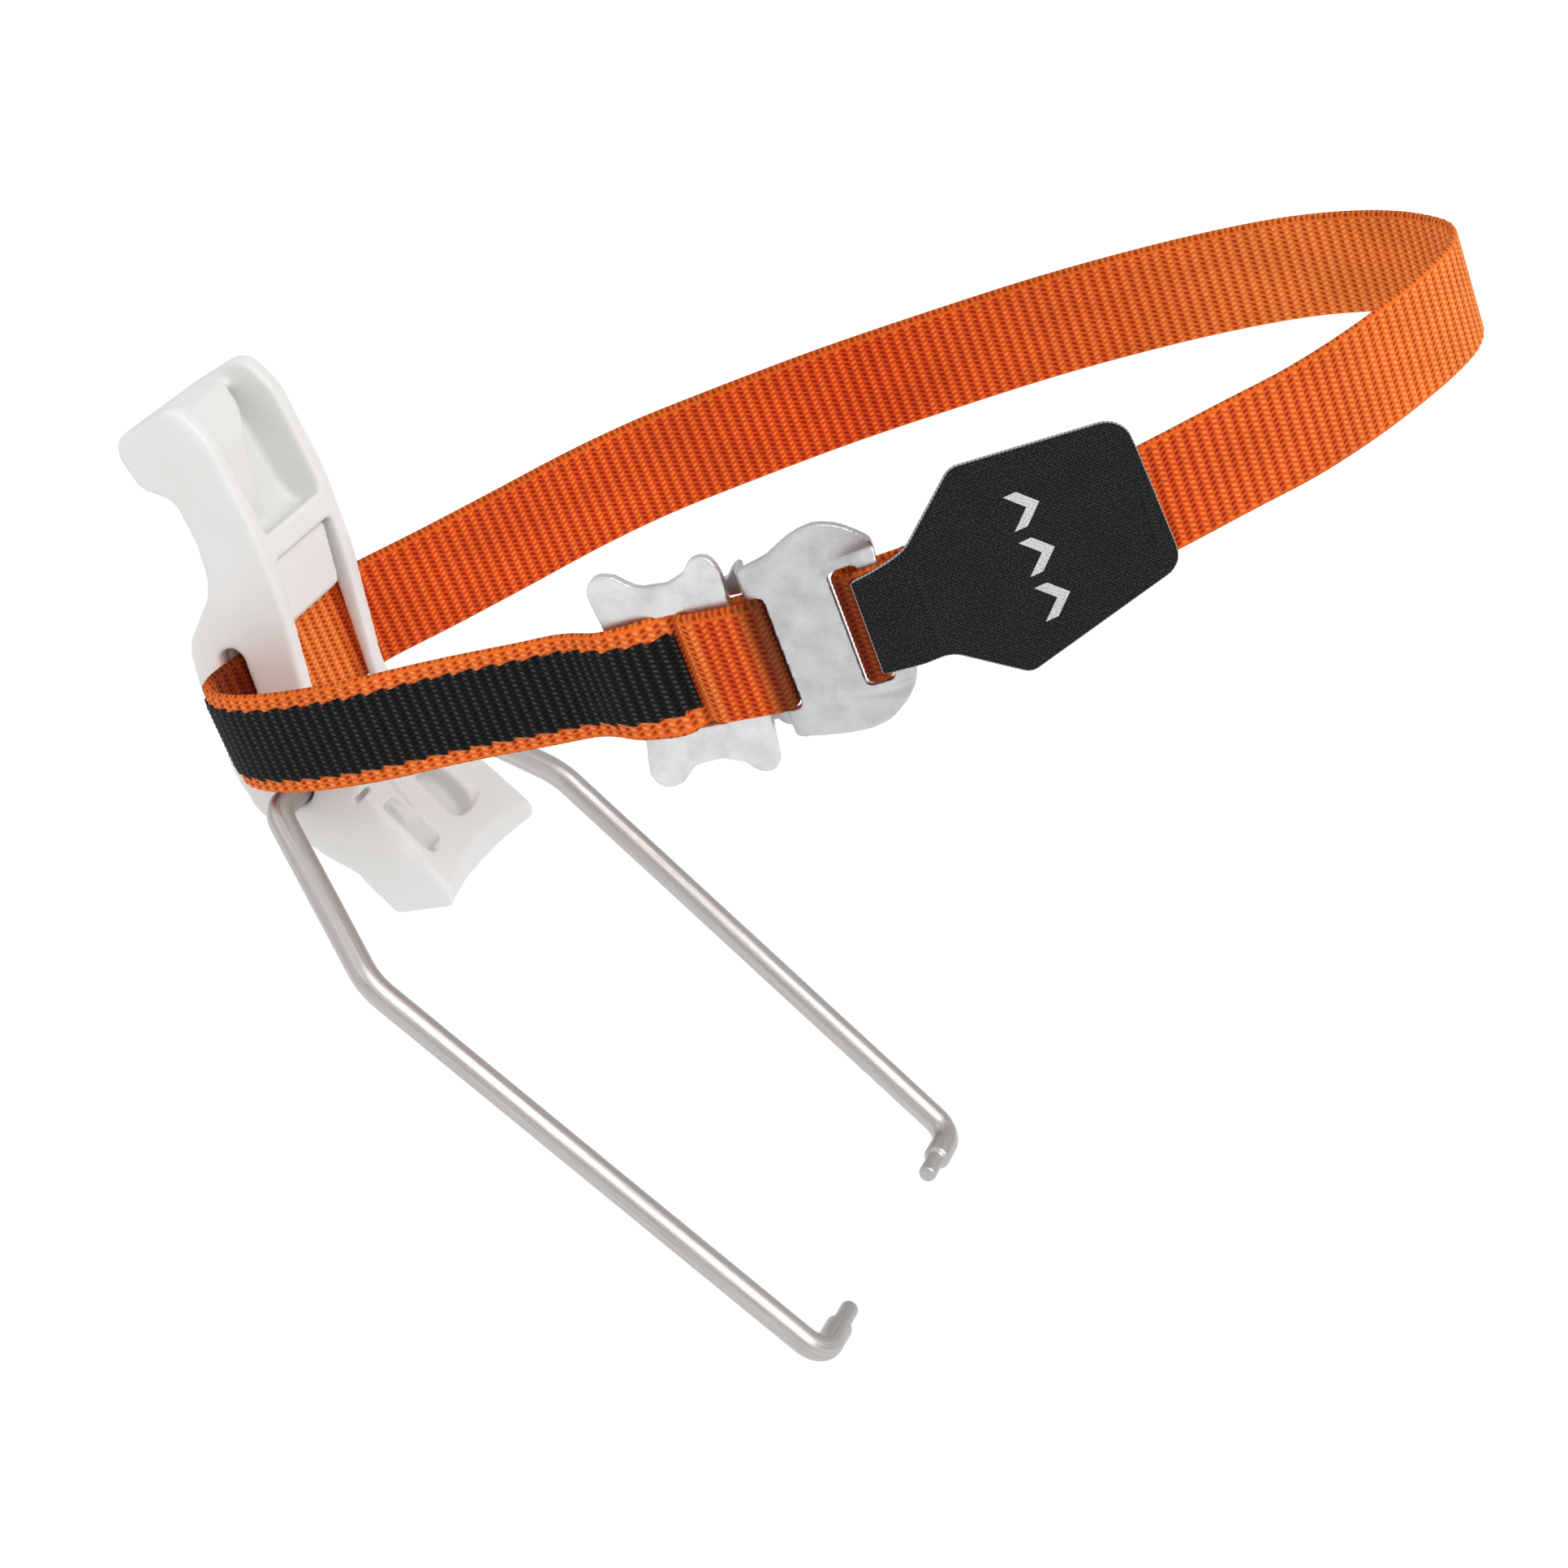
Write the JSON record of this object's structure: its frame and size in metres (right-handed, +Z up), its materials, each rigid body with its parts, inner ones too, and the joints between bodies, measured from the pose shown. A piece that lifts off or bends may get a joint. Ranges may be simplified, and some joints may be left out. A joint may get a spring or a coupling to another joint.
{
  "type": "crampon heel binding",
  "caption": "Crampon heel binding: wire heel bail with inward pins, a moulded heel lever pivoting on it, and a webbing ankle strap with a two-plate buckle and fabric tab.",
  "frame": {"origin": "midway between the two pins of the bail, where the binding plugs into the crampon", "axes": "+Z up, +X towards the toe of the boot, +Y to the wearer's left; the lever stands at the rear, -X"},
  "size_m": [0.2116, 0.1364, 0.1737],
  "materials": {
    "stainless_wire": "drawn stainless wire, satin with fine lines along it",
    "white_plastic": "moulded, softly rounded, matt",
    "orange_webbing": "ribbed woven webbing",
    "black_webbing": "ribbed woven tape",
    "black_fabric": "fine coated plain weave with a pale cut edge",
    "black_thread": "dense bar-tack stitching",
    "satin_aluminium": "stamped sheet, tumbled satin"
  },
  "bodies": {
    "bail": {"heel_bail": "stainless_wire"},
    "lever": {"lever_body": "white_plastic", "lever_insert": "white_plastic"},
    "strap": {"ankle_strap": "orange_webbing", "centre_tape": "black_webbing", "buckle_frame": "satin_aluminium", "strap_tab": "black_fabric", "neck_bar_tack": "black_thread", "end_bar_tack": "black_thread", "sewn_end_tack": "black_thread"},
    "wing_plate": {"buckle_wing_plate": "satin_aluminium"}
  },
  "joints": [
    {"name": "lever_pivot", "type": "hinge", "parent": "bail", "child": "lever", "pos_m": [-0.1021, 0, 0.0786], "axis": [0, -1, 0], "range_deg": [0, 100]},
    {"name": "strap_tilt", "type": "hinge", "parent": "lever", "child": "strap", "pos_m": [-0.1083, 0, 0.0936], "axis": [0, -1, 0], "range_deg": [-3, 3]},
    {"name": "wing_slide", "type": "slide", "parent": "strap", "child": "wing_plate", "axis": [0.9472, 0.0347, 0.3188], "range_m": [0, 0.0015]}
  ]
}
